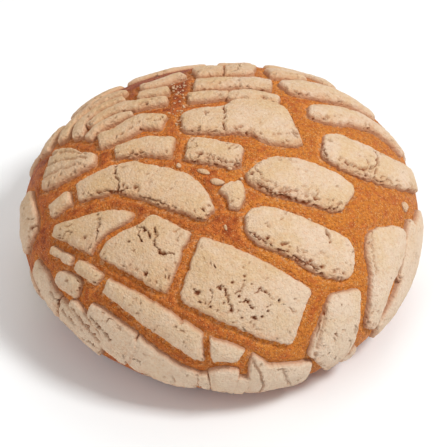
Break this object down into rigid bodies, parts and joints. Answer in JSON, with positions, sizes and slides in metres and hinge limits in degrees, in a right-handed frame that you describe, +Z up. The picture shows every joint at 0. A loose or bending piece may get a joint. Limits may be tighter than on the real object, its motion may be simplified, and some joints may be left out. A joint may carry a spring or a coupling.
{
  "type": "concha sweet bun",
  "caption": "Domed sweet bun under a pale sugar-paste shell, scored into curved ribs that have broken into thick plates.",
  "frame": {"origin": "middle of the flat base, on the surface that the bun stands on", "axes": "+Z up through the top of the dome, -Y towards the side with the large plates, +X to the right seen from there"},
  "size_m": [0.1176, 0.1183, 0.0543],
  "materials": {
    "crust": "browned crust, satin where smooth, fine pale grain",
    "shell": "matt baked sugar paste, finely pitted, crumbly at its edges"
  },
  "bodies": {
    "root": {"bun": "crust", "back_1": "shell", "back_2": "shell", "back_3": "shell", "back_4": "shell", "bib_1": "shell", "bonnet_1": "shell", "braid_1": "shell", "brow_1": "shell", "brow_2": "shell", "cheek_1": "shell", "chin_1": "shell", "chin_2": "shell", "chin_3": "shell", "chin_4": "shell", "collar_1": "shell", "comb_1": "shell", "crescent_1": "shell", "crescent_2": "shell", "crest_1": "shell", "crest_2": "shell", "crown_1": "shell", "cuff_1": "shell", "ear_1": "shell", "flank_1": "shell", "fringe_1": "shell", "fringe_2": "shell", "heart_1": "shell", "heart_2": "shell", "heart_3": "shell", "heel_1": "shell", "hem_1": "shell", "hem_2": "shell", "jowl_1": "shell", "lash_1": "shell", "ledge_1": "shell", "lobe_1": "shell", "lock_1": "shell", "mantle_1": "shell", "mantle_2": "shell", "mantle_3": "shell", "mantle_4": "shell", "mantle_5": "shell", "nape_1": "shell", "plume_1": "shell", "pompon_1": "shell", "shoulder_1": "shell", "sleeve_1": "shell", "step_1": "shell", "sweep_1": "shell", "tail_1": "shell", "temple_1": "shell", "tiara_1": "shell", "train_1": "shell", "train_2": "shell", "train_3": "shell", "train_4": "shell", "train_5": "shell", "train_6": "shell", "wedge_1": "shell"}
  },
  "joints": []
}
